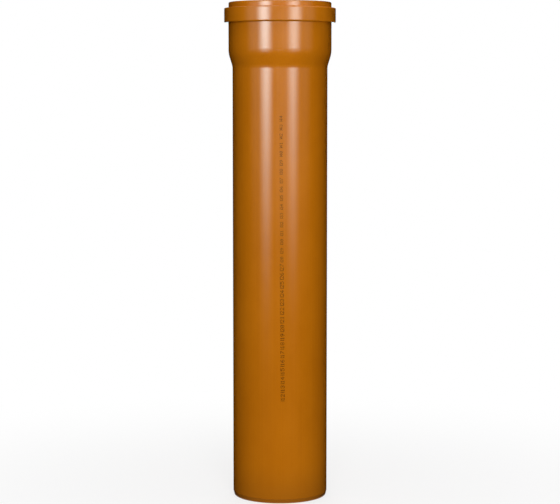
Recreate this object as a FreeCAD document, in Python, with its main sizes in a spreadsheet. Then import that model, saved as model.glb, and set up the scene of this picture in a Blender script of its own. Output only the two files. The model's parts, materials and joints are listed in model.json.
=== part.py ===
"""Socketed plastic sewer pipe, 110 mm across and half a metre long, with the rubber seal ring in its socket.

Frame: millimetres, +Z up. The pipe stands on its plain end, the spigot, with the socket at the top. The origin
is the centre of the spigot's end face, and +Z runs along the bore, out of the socket's mouth.

Two pieces: "pipe" is one extruded tube whose end was formed into a socket, and "seal_ring" is the rubber ring
that sits in the groove inside the socket's bead.
"""

import FreeCAD
import Part
import Sketcher

import os

PARTS_FOLDER = "parts"
EDGE_MATCH = 0.01  # mm, how near an edge's radius and height have to be to the ones asked for

# Driving dimensions, in millimetres and degrees.
SIZES = [
    # the plain pipe
    ("pipe_diameter", 110.0, "outside diameter"),
    ("pipe_wall", 3.4, "wall of the plain pipe"),
    ("laying_length", 500.0, "spigot's end face to the foot of the shoulder"),
    ("chamfer_length", 5.0, "spigot chamfer, along the pipe"),
    ("chamfer_angle", 15.0, "spigot chamfer, from the pipe's side"),
    # the socket
    ("spigot_clearance", 0.8, "radial gap between the socket's bore and a spigot"),
    ("socket_wall", 3.8, "wall of the socket's barrel"),
    ("shoulder_length", 15.2, "cone between the pipe and the barrel, between its sharp corners"),
    ("shoulder_foot_round", 14.0, "outside round where the pipe meets the cone"),
    ("shoulder_top_round", 30.0, "outside round where the cone meets the barrel"),
    ("barrel_length", 35.2, "cone's sharp corner to the bead"),
    ("bead_length", 16.7, "bead over the seal's groove, along the pipe"),
    ("bead_wall", 3.4, "wall of the bead, round the groove and on both its sides"),
    ("groove_depth", 5.25, "groove below the socket's bore"),
    ("rim_length", 6.7, "bead to the mouth"),
    ("rim_wall", 3.65, "wall of the rim"),
    # edges
    ("bead_round", 1.2, "bead's outside edges"),
    ("bead_corner_round", 0.5, "corners where the rim and the barrel meet the bead"),
    ("mouth_outer_round", 1.4, "mouth's outside edge"),
    ("mouth_inner_round", 1.6, "mouth's inside edge, which leads a spigot in"),
    ("groove_round", 1.0, "groove's corners, and the edges of the ring that lie in them"),
    ("groove_edge_round", 0.6, "edges where the groove meets the bore"),
    ("cut_edge_round", 0.3, "inside edge of the spigot's cut end"),
    # the seal ring, whose lip lies as a fitted spigot presses it
    ("ring_clearance", 0.3, "gap between the ring and the groove's wall and upper side"),
    ("lip_proud", 0.2, "how far the lip's tip stands in from the socket's bore"),
    ("lip_tip_height", 2.4, "lip's tip above the groove's lower side"),
    ("lip_thickness", 1.5, "lip, at its tip, along the pipe"),
    ("heel_depth", 2.6, "solid heel of the ring, in from its outside, at the groove's lower side"),
    ("crown_depth", 2.3, "solid crown of the ring, in from its outside, at the groove's upper side"),
    ("notch_depth", 1.9, "ring's outside to the root of the notch behind the lip"),
    ("notch_height", 4.6, "root of the notch above the groove's lower side"),
    ("ring_round", 0.5, "the ring's crown and the edges of its lip"),
]

document = FreeCAD.newDocument("sewer_pipe")


def make_sheet():
    """The spreadsheet that holds every driving dimension under its own alias."""
    made = document.addObject("Spreadsheet::Sheet", "Sizes")
    for row, (alias, number, meaning) in enumerate(SIZES, start=1):
        made.set(f"A{row}", alias)
        made.set(f"B{row}", str(number))
        made.set(f"C{row}", meaning)
        made.setAlias(f"B{row}", alias)
    document.recompute()
    return made


sheet = make_sheet()


def value(expression):
    """What an expression in the sheet's aliases comes to, as a plain number."""
    return float(sheet.evalExpression(expression))


# ---- Radii and heights that follow from the driving dimensions, as expressions ----

pipe_radius = "(Sizes.pipe_diameter / 2)"
pipe_bore_radius = f"({pipe_radius} - Sizes.pipe_wall)"
spigot_face_radius = f"({pipe_radius} - Sizes.chamfer_length * tan(Sizes.chamfer_angle * 1deg))"
socket_bore_radius = f"({pipe_radius} + Sizes.spigot_clearance)"
barrel_radius = f"({socket_bore_radius} + Sizes.socket_wall)"
groove_radius = f"({socket_bore_radius} + Sizes.groove_depth)"
bead_radius = f"({groove_radius} + Sizes.bead_wall)"
rim_radius = f"({socket_bore_radius} + Sizes.rim_wall)"

# A round between the pipe's side and the cone runs this share of its radius past their sharp corner.
half_turn = f"tan(atan(({barrel_radius} - {pipe_radius}) / Sizes.shoulder_length) / 2)"

shoulder_foot_height = f"(Sizes.laying_length + Sizes.shoulder_foot_round * {half_turn})"
shoulder_top_height = f"({shoulder_foot_height} + Sizes.shoulder_length)"
bead_bottom_height = f"({shoulder_top_height} + Sizes.barrel_length)"
bead_top_height = f"({bead_bottom_height} + Sizes.bead_length)"
mouth_height = f"({bead_top_height} + Sizes.rim_length)"
groove_bottom_height = f"({bead_bottom_height} + Sizes.bead_wall)"
groove_top_height = f"({bead_top_height} - Sizes.bead_wall)"
inner_foot_height = f"({shoulder_foot_height} + Sizes.pipe_wall * {half_turn})"
inner_top_height = f"({shoulder_top_height} + Sizes.socket_wall * {half_turn})"


# ---- Helpers ----


def revolved_body(name, outline):
    """A body turned about the Z axis from a closed outline of (radius, height) expressions, corner by corner."""
    body = document.addObject("PartDesign::Body", name)
    body.Label = name
    origin = {feature.Role: feature for feature in body.Origin.OriginFeatures}
    sketch = body.newObject("Sketcher::SketchObject", f"{name}_section")
    sketch.AttachmentSupport = [(origin["XZ_Plane"], "")]
    sketch.MapMode = "FlatFace"
    corners = [FreeCAD.Vector(value(radius), value(height), 0) for radius, height in outline]
    count = len(corners)
    for index in range(count):
        sketch.addGeometry(Part.LineSegment(corners[index], corners[(index + 1) % count]), False)
    for index in range(count):
        sketch.addConstraint(Sketcher.Constraint("Coincident", index, 2, (index + 1) % count, 1))
    for index, (radius, height) in enumerate(outline):
        dimension_from_origin(sketch, "DistanceX", index, radius)
        if abs(corners[index].y) < EDGE_MATCH:
            sketch.addConstraint(Sketcher.Constraint("PointOnObject", index, 1, -1))
        else:
            dimension_from_origin(sketch, "DistanceY", index, height)
    turned = body.newObject("PartDesign::Revolution", f"{name}_turned")
    turned.Profile = sketch
    turned.ReferenceAxis = (sketch, ["V_Axis"])
    turned.Angle = 360.0
    document.recompute()
    return body


def dimension_from_origin(sketch, kind, corner, expression):
    """A named sketch dimension from the origin to the start of a line, bound to an expression."""
    name = f"corner_{corner}_{kind[-1].lower()}"
    index = sketch.addConstraint(Sketcher.Constraint(kind, -1, 1, corner, 1, value(expression)))
    sketch.renameConstraint(index, name)
    sketch.setExpression(f"Constraints.{name}", expression)


def circle_names(shape, places):
    """The names of a shape's full circles about the Z axis at the given (radius, height) expressions."""
    names = []
    for radius, height in places:
        wanted_radius = value(radius)
        wanted_height = value(height)
        found = [
            f"Edge{number}"
            for number, edge in enumerate(shape.Edges, start=1)
            if isinstance(edge.Curve, Part.Circle)
            and abs(edge.Curve.Radius - wanted_radius) < EDGE_MATCH
            and abs(edge.Curve.Center.z - wanted_height) < EDGE_MATCH
        ]
        if len(found) != 1:
            raise RuntimeError(f"{len(found)} edges at radius {wanted_radius}, height {wanted_height}")
        names += found
    return names


def round_edges(body, name, radius, places):
    """A fillet feature on the circles at those places, its radius bound to an expression."""
    base = body.Tip
    fillet = body.newObject("PartDesign::Fillet", name)
    fillet.Base = (base, circle_names(base.Shape, places))
    fillet.setExpression("Radius", radius)
    document.recompute()


# ---- The pipe, with its socket ----


def make_pipe():
    outline = [
        (pipe_bore_radius, "0"),
        (spigot_face_radius, "0"),
        (pipe_radius, "Sizes.chamfer_length"),
        (pipe_radius, shoulder_foot_height),
        (barrel_radius, shoulder_top_height),
        (barrel_radius, bead_bottom_height),
        (bead_radius, bead_bottom_height),
        (bead_radius, bead_top_height),
        (rim_radius, bead_top_height),
        (rim_radius, mouth_height),
        (socket_bore_radius, mouth_height),
        (socket_bore_radius, groove_top_height),
        (groove_radius, groove_top_height),
        (groove_radius, groove_bottom_height),
        (socket_bore_radius, groove_bottom_height),
        (socket_bore_radius, inner_top_height),
        (pipe_bore_radius, inner_foot_height),
    ]
    body = revolved_body("pipe", outline)
    round_edges(body, "shoulder_foot_outside", "Sizes.shoulder_foot_round", [(pipe_radius, shoulder_foot_height)])
    round_edges(body, "shoulder_top_outside", "Sizes.shoulder_top_round", [(barrel_radius, shoulder_top_height)])
    round_edges(
        body,
        "shoulder_foot_inside",
        "Sizes.shoulder_foot_round + Sizes.pipe_wall",
        [(pipe_bore_radius, inner_foot_height)],
    )
    round_edges(
        body,
        "shoulder_top_inside",
        "Sizes.shoulder_top_round - Sizes.socket_wall",
        [(socket_bore_radius, inner_top_height)],
    )
    round_edges(
        body,
        "bead_edges",
        "Sizes.bead_round",
        [(bead_radius, bead_bottom_height), (bead_radius, bead_top_height)],
    )
    round_edges(
        body,
        "bead_corners",
        "Sizes.bead_corner_round",
        [(barrel_radius, bead_bottom_height), (rim_radius, bead_top_height)],
    )
    round_edges(body, "mouth_outside", "Sizes.mouth_outer_round", [(rim_radius, mouth_height)])
    round_edges(body, "mouth_inside", "Sizes.mouth_inner_round", [(socket_bore_radius, mouth_height)])
    round_edges(
        body,
        "groove_corners",
        "Sizes.groove_round",
        [(groove_radius, groove_bottom_height), (groove_radius, groove_top_height)],
    )
    round_edges(
        body,
        "groove_edges",
        "Sizes.groove_edge_round",
        [(socket_bore_radius, groove_bottom_height), (socket_bore_radius, groove_top_height)],
    )
    round_edges(body, "cut_edge", "Sizes.cut_edge_round", [(pipe_bore_radius, "0")])
    return body


# ---- The seal ring: it stands on the groove's lower side, its lip slanting down and in from the mouth ----


def make_seal_ring():
    outside = f"({groove_radius} - Sizes.ring_clearance)"
    bottom = groove_bottom_height
    top = f"({groove_top_height} - Sizes.ring_clearance)"
    lip_radius = f"({socket_bore_radius} - Sizes.lip_proud)"
    lip_bottom = f"({bottom} + Sizes.lip_tip_height)"
    lip_top = f"({lip_bottom} + Sizes.lip_thickness)"
    notch = (f"({outside} - Sizes.notch_depth)", f"({bottom} + Sizes.notch_height)")
    heel = (f"({outside} - Sizes.heel_depth)", bottom)
    crown = (f"({outside} - Sizes.crown_depth)", top)
    outline = [
        heel,
        (outside, bottom),
        (outside, top),
        crown,
        (lip_radius, lip_top),
        (lip_radius, lip_bottom),
        notch,
    ]
    body = revolved_body("seal_ring", outline)
    round_edges(body, "ring_outside_edges", "Sizes.groove_round", [(outside, bottom), (outside, top)])
    round_edges(
        body,
        "ring_lip_edges",
        "Sizes.ring_round",
        [crown, (lip_radius, lip_top), (lip_radius, lip_bottom)],
    )
    return body


# ---- Build, test and write ----


def check_document():
    """Stops if any object of the document failed, because a recompute doesn't raise by itself."""
    for item in document.Objects:
        if "Invalid" in item.State or "Error" in item.State:
            raise RuntimeError(f"{item.Name} failed: {item.State}")


def write_parts(bodies):
    """Writes each body's solid to a STEP file that is named after its label."""
    for body in bodies:
        if body.Shape.isNull() or not body.Shape.isValid():
            raise RuntimeError(f"{body.Label} has no valid shape")
    os.makedirs(PARTS_FOLDER, exist_ok=True)
    for body in bodies:
        body.Shape.exportStep(os.path.join(PARTS_FOLDER, f"{body.Label}.step"))
        box = body.Shape.optimalBoundingBox(False, False)
        print(f"{body.Label}: {box.XLength:.2f} x {box.YLength:.2f} x {box.ZLength:.2f} mm,"
              f" {body.Shape.Volume / 1000:.1f} cm3, {len(body.Shape.Solids)} solid")


pipe = make_pipe()
seal_ring = make_seal_ring()
document.recompute()
check_document()
write_parts([pipe, seal_ring])
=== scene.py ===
"""Looks of the socketed plastic sewer pipe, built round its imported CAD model.

Frame: metres, +Z up. The pipe stands on its plain end, its axis is the Z axis, and the camera looks
along +Y. The CAD node "pipe" stays and gets its material here. The seal ring is replaced by one whose
lip is relaxed. A printed length scale, plain numbers and ticks in ink dots, runs up the side that
faces the camera. The stage is white, with a dark surround that only the plastic's gloss shows.
"""

import json
import math
import random

import bmesh
import bpy
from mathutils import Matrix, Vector


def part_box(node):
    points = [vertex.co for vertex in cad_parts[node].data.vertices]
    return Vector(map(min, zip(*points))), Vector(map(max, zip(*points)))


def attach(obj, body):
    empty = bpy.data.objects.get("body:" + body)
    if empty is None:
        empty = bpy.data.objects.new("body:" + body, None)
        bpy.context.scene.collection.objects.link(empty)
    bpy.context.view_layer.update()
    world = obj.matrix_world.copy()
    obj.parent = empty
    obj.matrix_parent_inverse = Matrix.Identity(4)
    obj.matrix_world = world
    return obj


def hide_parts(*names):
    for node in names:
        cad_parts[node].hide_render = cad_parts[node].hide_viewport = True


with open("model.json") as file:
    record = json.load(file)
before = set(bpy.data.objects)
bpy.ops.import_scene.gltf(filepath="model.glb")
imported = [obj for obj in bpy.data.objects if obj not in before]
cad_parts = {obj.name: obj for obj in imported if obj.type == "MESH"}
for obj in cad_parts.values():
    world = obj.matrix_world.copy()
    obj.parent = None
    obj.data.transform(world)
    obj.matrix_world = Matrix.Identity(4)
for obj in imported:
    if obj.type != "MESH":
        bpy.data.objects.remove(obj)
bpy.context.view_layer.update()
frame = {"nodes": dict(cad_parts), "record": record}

MM = 0.001
SIZES = {mount["name"]: mount["dims"] for mount in frame["record"]["mounts"]}
PIPE_RADIUS = SIZES["spigot"]["r_mm"] * MM
SOCKET_RADIUS = SIZES["socket_bore"]["r_mm"] * MM


# ---- Node and mesh helpers ----


class Graph:
    """The node tree of a material, the world or a lamp, with short ways to add and feed its nodes."""

    def __init__(self, owner):
        owner.use_nodes = True
        self.owner = owner
        self.tree = owner.node_tree
        self.tree.nodes.clear()

    def feed(self, socket, source):
        """Links a socket to another one, or sets it to a number, a vector or a colour."""
        if isinstance(source, bpy.types.NodeSocket):
            self.tree.links.new(source, socket)
        elif socket.type == "RGBA":
            socket.default_value = (*source, 1.0)
        else:
            socket.default_value = source

    def add(self, kind, inputs=None, **settings):
        """A node of that kind with its settings, each named or numbered input fed."""
        node = self.tree.nodes.new(kind)
        for name, setting in settings.items():
            setattr(node, name, setting)
        for name, source in (inputs or {}).items():
            self.feed(node.inputs[name], source)
        return node

    def math(self, operation, first, second=0.0):
        return self.add("ShaderNodeMath", {0: first, 1: second}, operation=operation).outputs[0]

    def total(self, start, *terms):
        """A number plus each source times its weight."""
        for source, weight in terms:
            inputs = {0: source, 1: weight, 2: start}
            start = self.add("ShaderNodeMath", inputs, operation="MULTIPLY_ADD").outputs[0]
        return start

    def between(self, source, empty, full):
        """0 at the first level and past it, 1 at the second and past it, and smooth in between."""
        inputs = {"Value": source, "From Min": empty, "From Max": full}
        node = self.add("ShaderNodeMapRange", inputs, interpolation_type="SMOOTHSTEP")
        return node.outputs["Result"]

    def noise(self, place, across, along, detail=2.0, roughness=0.5):
        """Noise with so many features a metre across the pipe and along it."""
        scale = {"Vector": place, "Scale": (across, across, along)}
        stretched = self.add("ShaderNodeMapping", scale).outputs["Vector"]
        inputs = {"Vector": stretched, "Scale": 1.0, "Detail": detail, "Roughness": roughness}
        return self.add("ShaderNodeTexNoise", inputs).outputs["Fac"]

    def mix(self, share, first, second):
        """A colour between two others."""
        node = self.add("ShaderNodeMix", {0: share, 6: first, 7: second}, data_type="RGBA")
        return node.outputs[2]

    def bump(self, height, distance, below=None):
        """A normal pushed by a height from 0 to 1, distance metres high, on top of the bump below it."""
        inputs = {"Height": height, "Strength": 1.0, "Distance": distance}
        if below is not None:
            inputs["Normal"] = below
        return self.add("ShaderNodeBump", inputs).outputs["Normal"]

    def principled(self, colour, roughness, normal, fixed):
        """Finishes a material whose other Principled sockets are fixed."""
        inputs = {"Base Color": colour, "Roughness": roughness, "Normal": normal, **fixed}
        return self.finish(self.add("ShaderNodeBsdfPrincipled", inputs))

    def finish(self, shader, output="ShaderNodeOutputMaterial"):
        """Ends the tree in a shader node, and gives back the material, world or lamp."""
        self.add(output, {"Surface": shader.outputs[0]})
        return self.owner


def new_material(name):
    return Graph(bpy.data.materials.new(name))


def mesh_object(name, material, make):
    """A new object whose mesh the function make fills in."""
    mesh = bpy.data.meshes.new(name)
    work = bmesh.new()
    make(work)
    bmesh.ops.recalc_face_normals(work, faces=work.faces)
    work.to_mesh(mesh)
    work.free()
    mesh.materials.append(material)
    made = bpy.data.objects.new(name, mesh)
    bpy.context.scene.collection.objects.link(made)
    return made


# ---- The pipe's plastic ----

PLASTIC_DARK = (0.470, 0.138, 0.0018)
PLASTIC_LIGHT = (0.545, 0.168, 0.0034)
PLASTIC_SCUFFED = (0.64, 0.32, 0.08)
PLASTIC_CUT_AND_FOOT_SHADE = (0.34, 0.110, 0.006)  # where it is cut, and the painted shade darkening the plain end
DUST = (0.55, 0.50, 0.42)
SOCKET_FOOT = SIZES["pipe_bore"]["length_mm"] * MM  # where the formed socket starts
SOCKET_BLEND = 20.0 * MM  # over which its forming rings set in
CHAMFER_TOP = 5.0 * MM
FOOT_SHADE_FROM = -10.0 * MM  # painted shade, darker towards the plain end, fades out between these two heights
FOOT_SHADE_TO = 50.0 * MM


def pipe_plastic():
    """Extruded orange-brown plastic: lines along it, rings on its socket, turned marks on its chamfer, and
    painted shade darkening its plain end.
    """
    g = new_material("pipe_plastic")
    place = g.add("ShaderNodeTexCoord").outputs["Object"]
    height = g.add("ShaderNodeSeparateXYZ", {"Vector": place}).outputs["Z"]
    surface_normal = g.add("ShaderNodeNewGeometry").outputs["Normal"]
    facing_up = g.add("ShaderNodeSeparateXYZ", {"Vector": surface_normal}).outputs["Z"]

    blotches = g.noise(place, 16.0, 9.0, detail=4.0, roughness=0.6)
    draw_lines = g.noise(place, 900.0, 2.5, detail=3.0, roughness=0.6)
    speckle = g.noise(place, 1500.0, 1300.0)
    ripple = g.noise(place, 45.0, 14.0)
    tool_rings = g.noise(place, 8.0, 2600.0)
    forming_rings = g.noise(place, 6.0, 420.0)

    socket = g.between(height, SOCKET_FOOT, SOCKET_FOOT + SOCKET_BLEND)
    chamfer = g.between(height, CHAMFER_TOP + 0.1 * MM, CHAMFER_TOP - 0.3 * MM)
    # Painted shade: the colour darkens towards the plain end, in patches that follow the blotches.
    foot_shade_mask = g.between(height, FOOT_SHADE_TO, FOOT_SHADE_FROM)
    painted_foot_shade = g.math("MULTIPLY", foot_shade_mask, g.total(0.40, (blotches, 0.50)))
    worn_patches = g.between(g.noise(place, 22.0, 13.0), 0.56, 0.72)
    worn_lines = g.between(g.noise(place, 1700.0, 30.0, detail=1.0), 0.68, 0.76)
    scratches = g.math("MULTIPLY", worn_lines, worn_patches)
    dust = g.math("MULTIPLY", g.between(facing_up, 0.55, 0.95), g.between(speckle, 0.40, 0.62))

    shade = g.total(-0.15, (blotches, 0.75), (draw_lines, 0.35), (speckle, 0.30))
    colour = g.mix(g.between(shade, 0.30, 0.80), PLASTIC_DARK, PLASTIC_LIGHT)
    colour = g.mix(g.math("MULTIPLY", scratches, 0.10), colour, PLASTIC_SCUFFED)
    colour = g.mix(g.math("MULTIPLY", chamfer, 0.40), colour, PLASTIC_CUT_AND_FOOT_SHADE)
    # The painted shade at the foot, mixed into the colour.
    colour = g.mix(painted_foot_shade, colour, PLASTIC_CUT_AND_FOOT_SHADE)
    colour = g.mix(g.math("MULTIPLY", dust, 0.22), colour, DUST)
    roughness = g.total(0.130, (blotches, 0.07), (scratches, 0.10), (chamfer, 0.14), (dust, 0.20))

    normal = g.bump(ripple, 0.05 * MM)
    normal = g.bump(draw_lines, 0.0035 * MM, normal)
    normal = g.bump(g.math("MULTIPLY", forming_rings, socket), 0.006 * MM, normal)
    normal = g.bump(g.math("MULTIPLY", tool_rings, chamfer), 0.03 * MM, normal)
    normal = g.bump(scratches, -0.006 * MM, normal)
    return g.principled(colour, roughness, normal, {"IOR": 1.52})


# ---- The seal ring, with its lip relaxed ----

RING_SEGMENTS = 256
RUBBER = (0.020, 0.020, 0.021)
RUBBER_WORN = (0.055, 0.053, 0.050)
LIP_REACH = 2.8 * MM  # past the socket's bore
RIB_PLACES = (0.26, 0.50, 0.74)  # shares of the ring's height
RIB_DEPTH = 0.35 * MM
RIB_ROUND = 0.15 * MM
RIB_HALF_FOOT = 0.75 * MM
RIB_HALF_CREST = 0.25 * MM


def seal_rubber():
    """Black moulded rubber with fine rings from its mould, a grain and a dry bloom."""
    g = new_material("seal_rubber")
    place = g.add("ShaderNodeTexCoord").outputs["Object"]
    bloom = g.noise(place, 120.0, 160.0, detail=4.0, roughness=0.6)
    grain = g.noise(place, 2600.0, 2600.0)
    mould_rings = g.noise(place, 10.0, 2200.0, detail=1.0)
    colour = g.mix(g.between(bloom, 0.42, 0.75), RUBBER, RUBBER_WORN)
    roughness = g.total(0.42, (bloom, 0.22))
    normal = g.bump(grain, 0.012 * MM)
    normal = g.bump(mould_rings, 0.010 * MM, normal)
    return g.principled(colour, roughness, normal, {"Specular IOR Level": 0.5})


def rounded(corners, steps=6):
    """A closed outline from (radius, height, round) corners, each round an arc of so many steps."""
    points = []
    count = len(corners)
    for index, (x, y, size) in enumerate(corners):
        here = Vector((x, y))
        back = (Vector(corners[index - 1][:2]) - here).normalized()
        ahead = (Vector(corners[(index + 1) % count][:2]) - here).normalized()
        half = back.angle(ahead) / 2
        reach = size / math.tan(half)
        centre = here + (back + ahead).normalized() * (size / math.sin(half))
        start = here + back * reach - centre
        end = here + ahead * reach - centre
        turn = start.angle_signed(end)
        for step in range(steps + 1):
            angle = -turn * step / steps
            points.append(centre + Vector((
                start.x * math.cos(angle) - start.y * math.sin(angle),
                start.x * math.sin(angle) + start.y * math.cos(angle),
            )))
    return points


def turned(work, outline, segments):
    """Turns a closed outline of (radius, height) points about the Z axis."""
    rings = []
    for segment in range(segments):
        angle = 2 * math.pi * segment / segments
        rings.append([work.verts.new((p.x * math.cos(angle), p.x * math.sin(angle), p.y)) for p in outline])
    for segment, ring in enumerate(rings):
        after = rings[(segment + 1) % segments]
        for index in range(len(outline)):
            following = (index + 1) % len(outline)
            work.faces.new((ring[index], after[index], after[following], ring[following])).smooth = True


def make_seal_ring():
    """The ring stands on the groove's lower side; its lip slants in and down, past the socket's bore."""
    low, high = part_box("seal_ring")
    outside = high.x
    bottom = low.z
    top = high.z
    rib_foot = outside - RIB_DEPTH
    tip_radius = SOCKET_RADIUS - LIP_REACH
    ribs = []
    for share in RIB_PLACES:
        middle = bottom + share * (top - bottom)
        ribs += [
            (rib_foot, middle - RIB_HALF_FOOT, RIB_ROUND),
            (outside, middle - RIB_HALF_CREST, RIB_ROUND),
            (outside, middle + RIB_HALF_CREST, RIB_ROUND),
            (rib_foot, middle + RIB_HALF_FOOT, RIB_ROUND),
        ]
    # Radius, height and round of each corner: the foot, the ribbed outside, the top, and the lip.
    corners = [
        (outside - 2.6 * MM, bottom, 0.4 * MM),
        (rib_foot, bottom, 0.8 * MM),
        *ribs,
        (rib_foot, top, 0.9 * MM),
        (outside - 2.3 * MM, top, 0.7 * MM),
        (tip_radius, bottom + 3.5 * MM, 0.45 * MM),
        (tip_radius + 0.35 * MM, bottom + 2.3 * MM, 0.45 * MM),
        (outside - 2.1 * MM, bottom + 5.3 * MM, 0.5 * MM),
    ]
    outline = rounded(corners)

    def ring_shape(work):
        turned(work, outline, RING_SEGMENTS)

    ring = mesh_object("seal_ring_relaxed", seal_rubber(), ring_shape)
    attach(ring, "root")
    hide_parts("seal_ring")


# ---- The printed scale ----

DIGITS = {
    "0": (" ### ", "#   #", "#  ##", "# # #", "##  #", "#   #", " ### "),
    "1": ("  #  ", " ##  ", "  #  ", "  #  ", "  #  ", "  #  ", " ### "),
    "2": (" ### ", "#   #", "    #", "   # ", "  #  ", " #   ", "#####"),
    "3": (" ### ", "#   #", "    #", "  ## ", "    #", "#   #", " ### "),
    "4": ("   # ", "  ## ", " # # ", "#  # ", "#####", "   # ", "   # "),
    "5": ("#####", "#    ", "#### ", "    #", "    #", "#   #", " ### "),
    "6": ("  ## ", " #   ", "#    ", "#### ", "#   #", "#   #", " ### "),
    "7": ("#####", "    #", "   # ", "  #  ", " #   ", " #   ", " #   "),
    "8": (" ### ", "#   #", "#   #", " ### ", "#   #", "#   #", " ### "),
    "9": (" ### ", "#   #", "#   #", " ####", "    #", "   # ", " ##  "),
}
SCALE_FROM = 12  # centimetres above the spigot's end
SCALE_TO = 44
SCALE_BEARING = math.radians(3.2)  # its lowest mark's, from the camera's side towards +X
SCALE_LEAN = math.radians(-6.5)  # by which its bearing changes in each metre of height
SMALL_PITCH = 0.50 * MM
LARGE_PITCH = 0.64 * MM
LARGE_TO = 27  # centimetres: the print is larger up to here
DIGIT_COLUMNS = 6  # from one digit's first column to the next one's
MIDDLE_ROW = 3
NUMBER_GAP = 1.5  # pitches from a tick to its number
DOT_SIZES = (0.52, 0.62)  # least and most radius, in pitches
DOT_SIDES = 8
DOT_WANDER_ACROSS = 0.04 * MM
DOT_WANDER_ALONG = 0.05 * MM
MISSED_DOTS = 0.012  # share that the printer left out
PRINT_SEED = 7
INK_PROUD = 0.03 * MM
INK_DEEP = 0.25 * MM
INK = (0.018, 0.010, 0.002)
INK_FADED = (0.075, 0.028, 0.004)


def scale_ink():
    """Dark brown ink, thin and faded in places so that the plastic's colour comes through."""
    g = new_material("scale_ink")
    place = g.add("ShaderNodeTexCoord").outputs["Object"]
    wear = g.noise(place, 260.0, 90.0, detail=4.0, roughness=0.65)
    pores = g.noise(place, 3500.0, 3500.0)
    faded = g.between(g.total(0.0, (wear, 0.8), (pores, 0.3)), 0.42, 0.78)
    colour = g.mix(faded, INK, INK_FADED)
    roughness = g.total(0.16, (pores, 0.10))
    normal = g.bump(pores, 0.006 * MM)
    return g.principled(colour, roughness, normal, {"Specular IOR Level": 0.15})


def ink_dot(work, across, height, size):
    """One dot of ink, a thin disc on the pipe's side: across is an arc length from the scale's line."""
    above_start = height - SCALE_FROM * 10 * MM
    bearing = SCALE_BEARING + SCALE_LEAN * above_start + across / PIPE_RADIUS
    out = Vector((math.sin(bearing), -math.cos(bearing), 0.0))
    side = Vector((math.cos(bearing), math.sin(bearing), 0.0))
    outer = []
    inner = []
    for corner in range(DOT_SIDES):
        angle = 2 * math.pi * corner / DOT_SIDES
        offset = side * (size * math.cos(angle)) + Vector((0.0, 0.0, height + size * math.sin(angle)))
        outer.append(work.verts.new(out * (PIPE_RADIUS + INK_PROUD) + offset))
        inner.append(work.verts.new(out * (PIPE_RADIUS - INK_DEEP) + offset))
    work.faces.new(outer)
    work.faces.new(inner[::-1])
    for corner in range(DOT_SIDES):
        following = (corner + 1) % DOT_SIDES
        work.faces.new((outer[corner], inner[corner], inner[following], outer[following]))


def print_dots(work, dots, pitch, chance):
    """Dots at (start, column, row) places of a grid: columns run up from start, rows to the right."""
    for start, column, row in dots:
        if chance.random() < MISSED_DOTS:
            continue
        across = row * pitch + chance.uniform(-DOT_WANDER_ACROSS, DOT_WANDER_ACROSS)
        height = start + column * pitch + chance.uniform(-DOT_WANDER_ALONG, DOT_WANDER_ALONG)
        ink_dot(work, across, height, pitch * chance.uniform(*DOT_SIZES))


def number_dots(text, start, pitch):
    """The dots of a number that reads up the pipe from a height, its rows centred on the scale's line."""
    found = []
    for index, digit in enumerate(text):
        digit_start = start + index * DIGIT_COLUMNS * pitch
        for row, line in enumerate(DIGITS[digit]):
            found += [
                (digit_start, column, row - MIDDLE_ROW)
                for column, mark in enumerate(line)
                if mark == "#"
            ]
    return found


def print_scale(work):
    """A tick and a number for each whole centimetre."""
    chance = random.Random(PRINT_SEED)
    for centimetres in range(SCALE_FROM, SCALE_TO + 1):
        mark = centimetres * 10 * MM
        pitch = LARGE_PITCH if centimetres <= LARGE_TO else SMALL_PITCH
        tick = [(mark, 0, row) for row in range(-MIDDLE_ROW, MIDDLE_ROW + 1)]
        number = number_dots(str(centimetres), mark + NUMBER_GAP * pitch, pitch)
        print_dots(work, tick + number, pitch, chance)


def make_scale():
    scale = mesh_object("printed_scale", scale_ink(), print_scale)
    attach(scale, "root")


# ---- Stage: floor, world, lamps, camera ----

FLOOR_RADIUS = 12.0
FLOOR_SEGMENTS = 96
FLOOR_PALE = (0.90, 0.90, 0.90)  # as the camera sees it
FLOOR_GREY = (0.15, 0.15, 0.15)  # as it throws light back at the pipe
WHITE = (1.0, 1.0, 1.0)
WHITE_NEAR = 0.70  # share of plain white in the floor beside the pipe
WHITE_FROM = PIPE_RADIUS - 2 * MM  # no plain white nearer to the axis, inside the bore
FADE_FROM = 0.12  # metres from the axis, where the floor starts to fade into the white background
FADE_TO = 0.70
FILL = 0.14  # strength of the world's light on the object

STRIP_COLOUR = (0.78, 0.96, 1.0)
STRIP_DISTANCE = 1.5
STRIP_HEIGHT = 0.42  # of its middle
STRIP_LENGTH = 0.90
STRIP_DARK_BELOW = 0.03  # shares of its length
STRIP_FULL_ABOVE = 0.72

SURROUND_RADIUS = 2.4
SURROUND_HEIGHT = 2.4
SURROUND_FOOT = 1.0 * MM  # its disc's height above the floor
SURROUND_SEGMENTS = 64
SOCKET_WALL = 3.8 * MM
BEAD_WALL = 4.2 * MM  # beside the seal ring, with its clearance and the bead's corner
SHOULDER_FOOT = SOCKET_FOOT + 2.2 * MM  # where the pipe's side and the cone would meet in a corner
SHOULDER_TOP = SHOULDER_FOOT + 15.2 * MM
WING_GAP = 0.6 * MM

CAMERA_PLACE = (0.0, -2.038, 0.474)
CAMERA_DIP = 5.258  # degrees below level
CAMERA_LENS = 112.5  # millimetres, as its sensor's width is
CAMERA_SENSOR = 36.0


def seen_directly(g):
    """1 for rays from the camera, and for those that gloss or glass passes on."""
    path = g.add("ShaderNodeLightPath").outputs
    seen = g.math("MAXIMUM", path["Is Camera Ray"], path["Is Glossy Ray"])
    return g.math("MAXIMUM", seen, path["Is Transmission Ray"])


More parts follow.
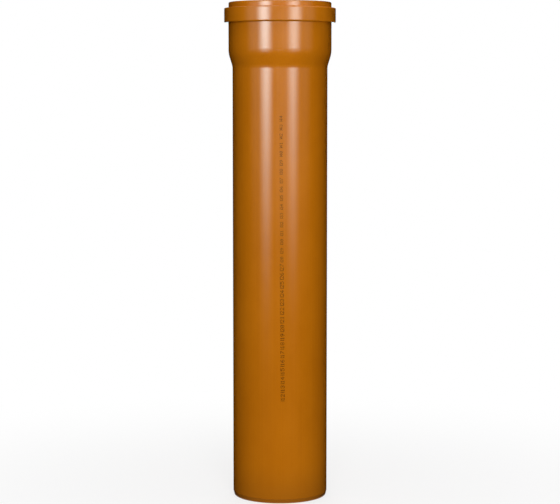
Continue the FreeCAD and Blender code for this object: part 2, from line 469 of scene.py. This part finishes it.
def floor_material():
    """Pale and matt round the pipe, where its shadow falls, and white further off; clear from below."""
    g = new_material("floor")
    place = g.add("ShaderNodeTexCoord").outputs["Object"]
    away = g.add("ShaderNodeVectorMath", {0: place}, operation="LENGTH").outputs["Value"]
    seen = seen_directly(g)
    whiteness = g.total(WHITE_NEAR, (g.between(away, FADE_FROM, FADE_TO), 1.0 - WHITE_NEAR))
    whiteness = g.math("MULTIPLY", whiteness, g.math("GREATER_THAN", away, WHITE_FROM))
    matt = g.add("ShaderNodeBsdfDiffuse", {"Color": g.mix(seen, FLOOR_GREY, FLOOR_PALE)}).outputs[0]
    white = g.add("ShaderNodeEmission", {"Color": WHITE, "Strength": 1.0}).outputs[0]
    share = g.math("MULTIPLY", whiteness, seen)
    pale = g.add("ShaderNodeMixShader", {0: share, 1: matt, 2: white}).outputs[0]
    clear = g.add("ShaderNodeBsdfTransparent").outputs[0]
    below = g.add("ShaderNodeNewGeometry").outputs["Backfacing"]
    return g.finish(g.add("ShaderNodeMixShader", {0: below, 1: pale, 2: clear}))


def floor_shape(work):
    bmesh.ops.create_circle(work, cap_ends=True, segments=FLOOR_SEGMENTS, radius=FLOOR_RADIUS)


def make_floor():
    floor = mesh_object("floor", floor_material(), floor_shape)


def surround_shape(work):
    """A disc just above the floor, a wall round it, and two wings that part front lamps from the back."""
    bmesh.ops.create_circle(work, cap_ends=True, segments=SURROUND_SEGMENTS, radius=SURROUND_RADIUS)
    for vertex in work.verts:
        vertex.co.z = SURROUND_FOOT
    rim = [edge for edge in work.edges if edge.is_boundary]
    raised = bmesh.ops.extrude_edge_only(work, edges=rim)["geom"]
    for item in raised:
        if isinstance(item, bmesh.types.BMVert):
            item.co.z = SURROUND_HEIGHT
    barrel_radius = SOCKET_RADIUS + SOCKET_WALL
    bead_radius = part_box("pipe")[1].x
    bead_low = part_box("seal_ring")[0].z - BEAD_WALL
    bead_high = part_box("seal_ring")[1].z + BEAD_WALL
    pipe_side = [
        (PIPE_RADIUS, SURROUND_FOOT),
        (PIPE_RADIUS, SHOULDER_FOOT),
        (barrel_radius, SHOULDER_TOP),
        (barrel_radius, bead_low),
        (bead_radius, bead_low),
        (bead_radius, bead_high),
        (barrel_radius, bead_high),
        (barrel_radius, SURROUND_HEIGHT),
    ]
    wing = [(radius + WING_GAP, height) for radius, height in pipe_side]
    wing += [(SURROUND_RADIUS, SURROUND_HEIGHT), (SURROUND_RADIUS, SURROUND_FOOT)]
    for side in (-1, 1):
        work.faces.new([work.verts.new((side * radius, 0.0, height)) for radius, height in wing])


def make_surround():
    """The dark room round the lamps, which only the plastic's gloss shows."""
    g = new_material("surround")
    black = g.finish(g.add("ShaderNodeBsdfDiffuse", {"Color": (0.0, 0.0, 0.0)}))
    surround = mesh_object("surround", black, surround_shape)
    surround.visible_camera = False
    surround.visible_diffuse = False
    surround.visible_transmission = False
    surround.visible_shadow = False


def make_world():
    """White where it is seen, and a weak even fill on the object."""
    world = bpy.data.worlds.new("studio")
    bpy.context.scene.world = world
    g = Graph(world)
    strength = g.math("MAXIMUM", seen_directly(g), FILL)
    background = g.add("ShaderNodeBackground", {"Color": WHITE, "Strength": strength})
    g.finish(background, "ShaderNodeOutputWorld")


def make_lamp(name, bearing, distance, height, aim_height, wide, high, radiance):
    """A soft lamp that faces the pipe's axis, hidden from the camera.

    Its bearing is in degrees from the camera's side of the pipe towards +X. At a radiance of 1 it is
    as bright as the white background.
    """
    data = bpy.data.lights.new(name, "AREA")
    data.shape = "RECTANGLE"
    data.size = wide
    data.size_y = high
    data.energy = math.pi * radiance * wide * high
    lamp = bpy.data.objects.new(name, data)
    angle = math.radians(bearing)
    lamp.location = (distance * math.sin(angle), -distance * math.cos(angle), height)
    aim = Vector((0.0, 0.0, aim_height))
    lamp.rotation_mode = "QUATERNION"
    lamp.rotation_quaternion = (aim - lamp.location).to_track_quat("-Z", "Y")
    lamp.visible_camera = False
    bpy.context.scene.collection.objects.link(lamp)
    return lamp


def soften_strip(lamp):
    """A strip's glow grows from its foot up, and fades from its middle line to both sides."""
    g = Graph(lamp.data)
    place = g.add("ShaderNodeNewGeometry").outputs["Parametric"]
    axes = g.add("ShaderNodeSeparateXYZ", {"Vector": place}).outputs
    rise = {"Value": axes["Y"], "From Min": STRIP_DARK_BELOW, "From Max": STRIP_FULL_ABOVE}
    raised = g.math("POWER", g.add("ShaderNodeMapRange", rise).outputs["Result"], 2.0)
    from_middle = g.math("ABSOLUTE", g.math("SUBTRACT", axes["X"], 0.5))
    glow = g.math("MULTIPLY", raised, g.between(from_middle, 0.5, 0.0))
    g.finish(g.add("ShaderNodeEmission", {"Strength": glow}), "ShaderNodeOutputLight")


def make_strips():
    """Tall lamps whose highlights the gloss shows; they light nothing else."""
    strips = [
        # name, bearing, width, radiance
        ("strip_left", -32.4, 1.02, 15.2),
        ("strip_right", 30.5, 1.02, 10.9),
        ("strip_back", 180.0, 0.40, 9.7),
        ("glow_left", -58.0, 1.20, 1.1),
        ("glow_right", 60.0, 1.20, 0.8),
    ]
    for name, bearing, wide, radiance in strips:
        strip = make_lamp(
            name,
            bearing,
            distance=STRIP_DISTANCE,
            height=STRIP_HEIGHT,
            aim_height=STRIP_HEIGHT,
            wide=wide,
            high=STRIP_LENGTH,
            radiance=radiance,
        )
        strip.data.color = STRIP_COLOUR
        strip.visible_diffuse = False
        soften_strip(strip)


def make_broad_lamps():
    """Soft light from the front, the top and the back, which the gloss doesn't show."""
    lamps = [
        # name, bearing, distance, height, height aimed at, width, length, radiance
        ("front", 2.5, 1.8, 0.70, 0.45, 0.9, 1.0, 10.0),
        ("top", 0.0, 0.4, 2.2, 0.0, 1.6, 1.6, 2.0),
        ("back", 180.0, 1.8, 0.8, 0.4, 1.8, 1.0, 4.2),
    ]
    for lamp in lamps:
        make_lamp(*lamp).visible_glossy = False


def make_camera():
    """About 2 m away, a little below the mouth's height, with the pipe filling the frame's height."""
    data = bpy.data.cameras.new("camera")
    data.sensor_width = CAMERA_SENSOR
    data.lens = CAMERA_LENS
    camera = bpy.data.objects.new("camera", data)
    camera.location = CAMERA_PLACE
    camera.rotation_euler = (math.radians(90.0 - CAMERA_DIP), 0.0, 0.0)
    bpy.context.scene.collection.objects.link(camera)
    bpy.context.scene.camera = camera


frame["nodes"]["pipe"].material_slots[0].material = pipe_plastic()
make_seal_ring()
make_scale()
make_floor()
make_surround()
make_world()
make_strips()
make_broad_lamps()
make_camera()
bpy.context.scene.view_settings.view_transform = "Standard"
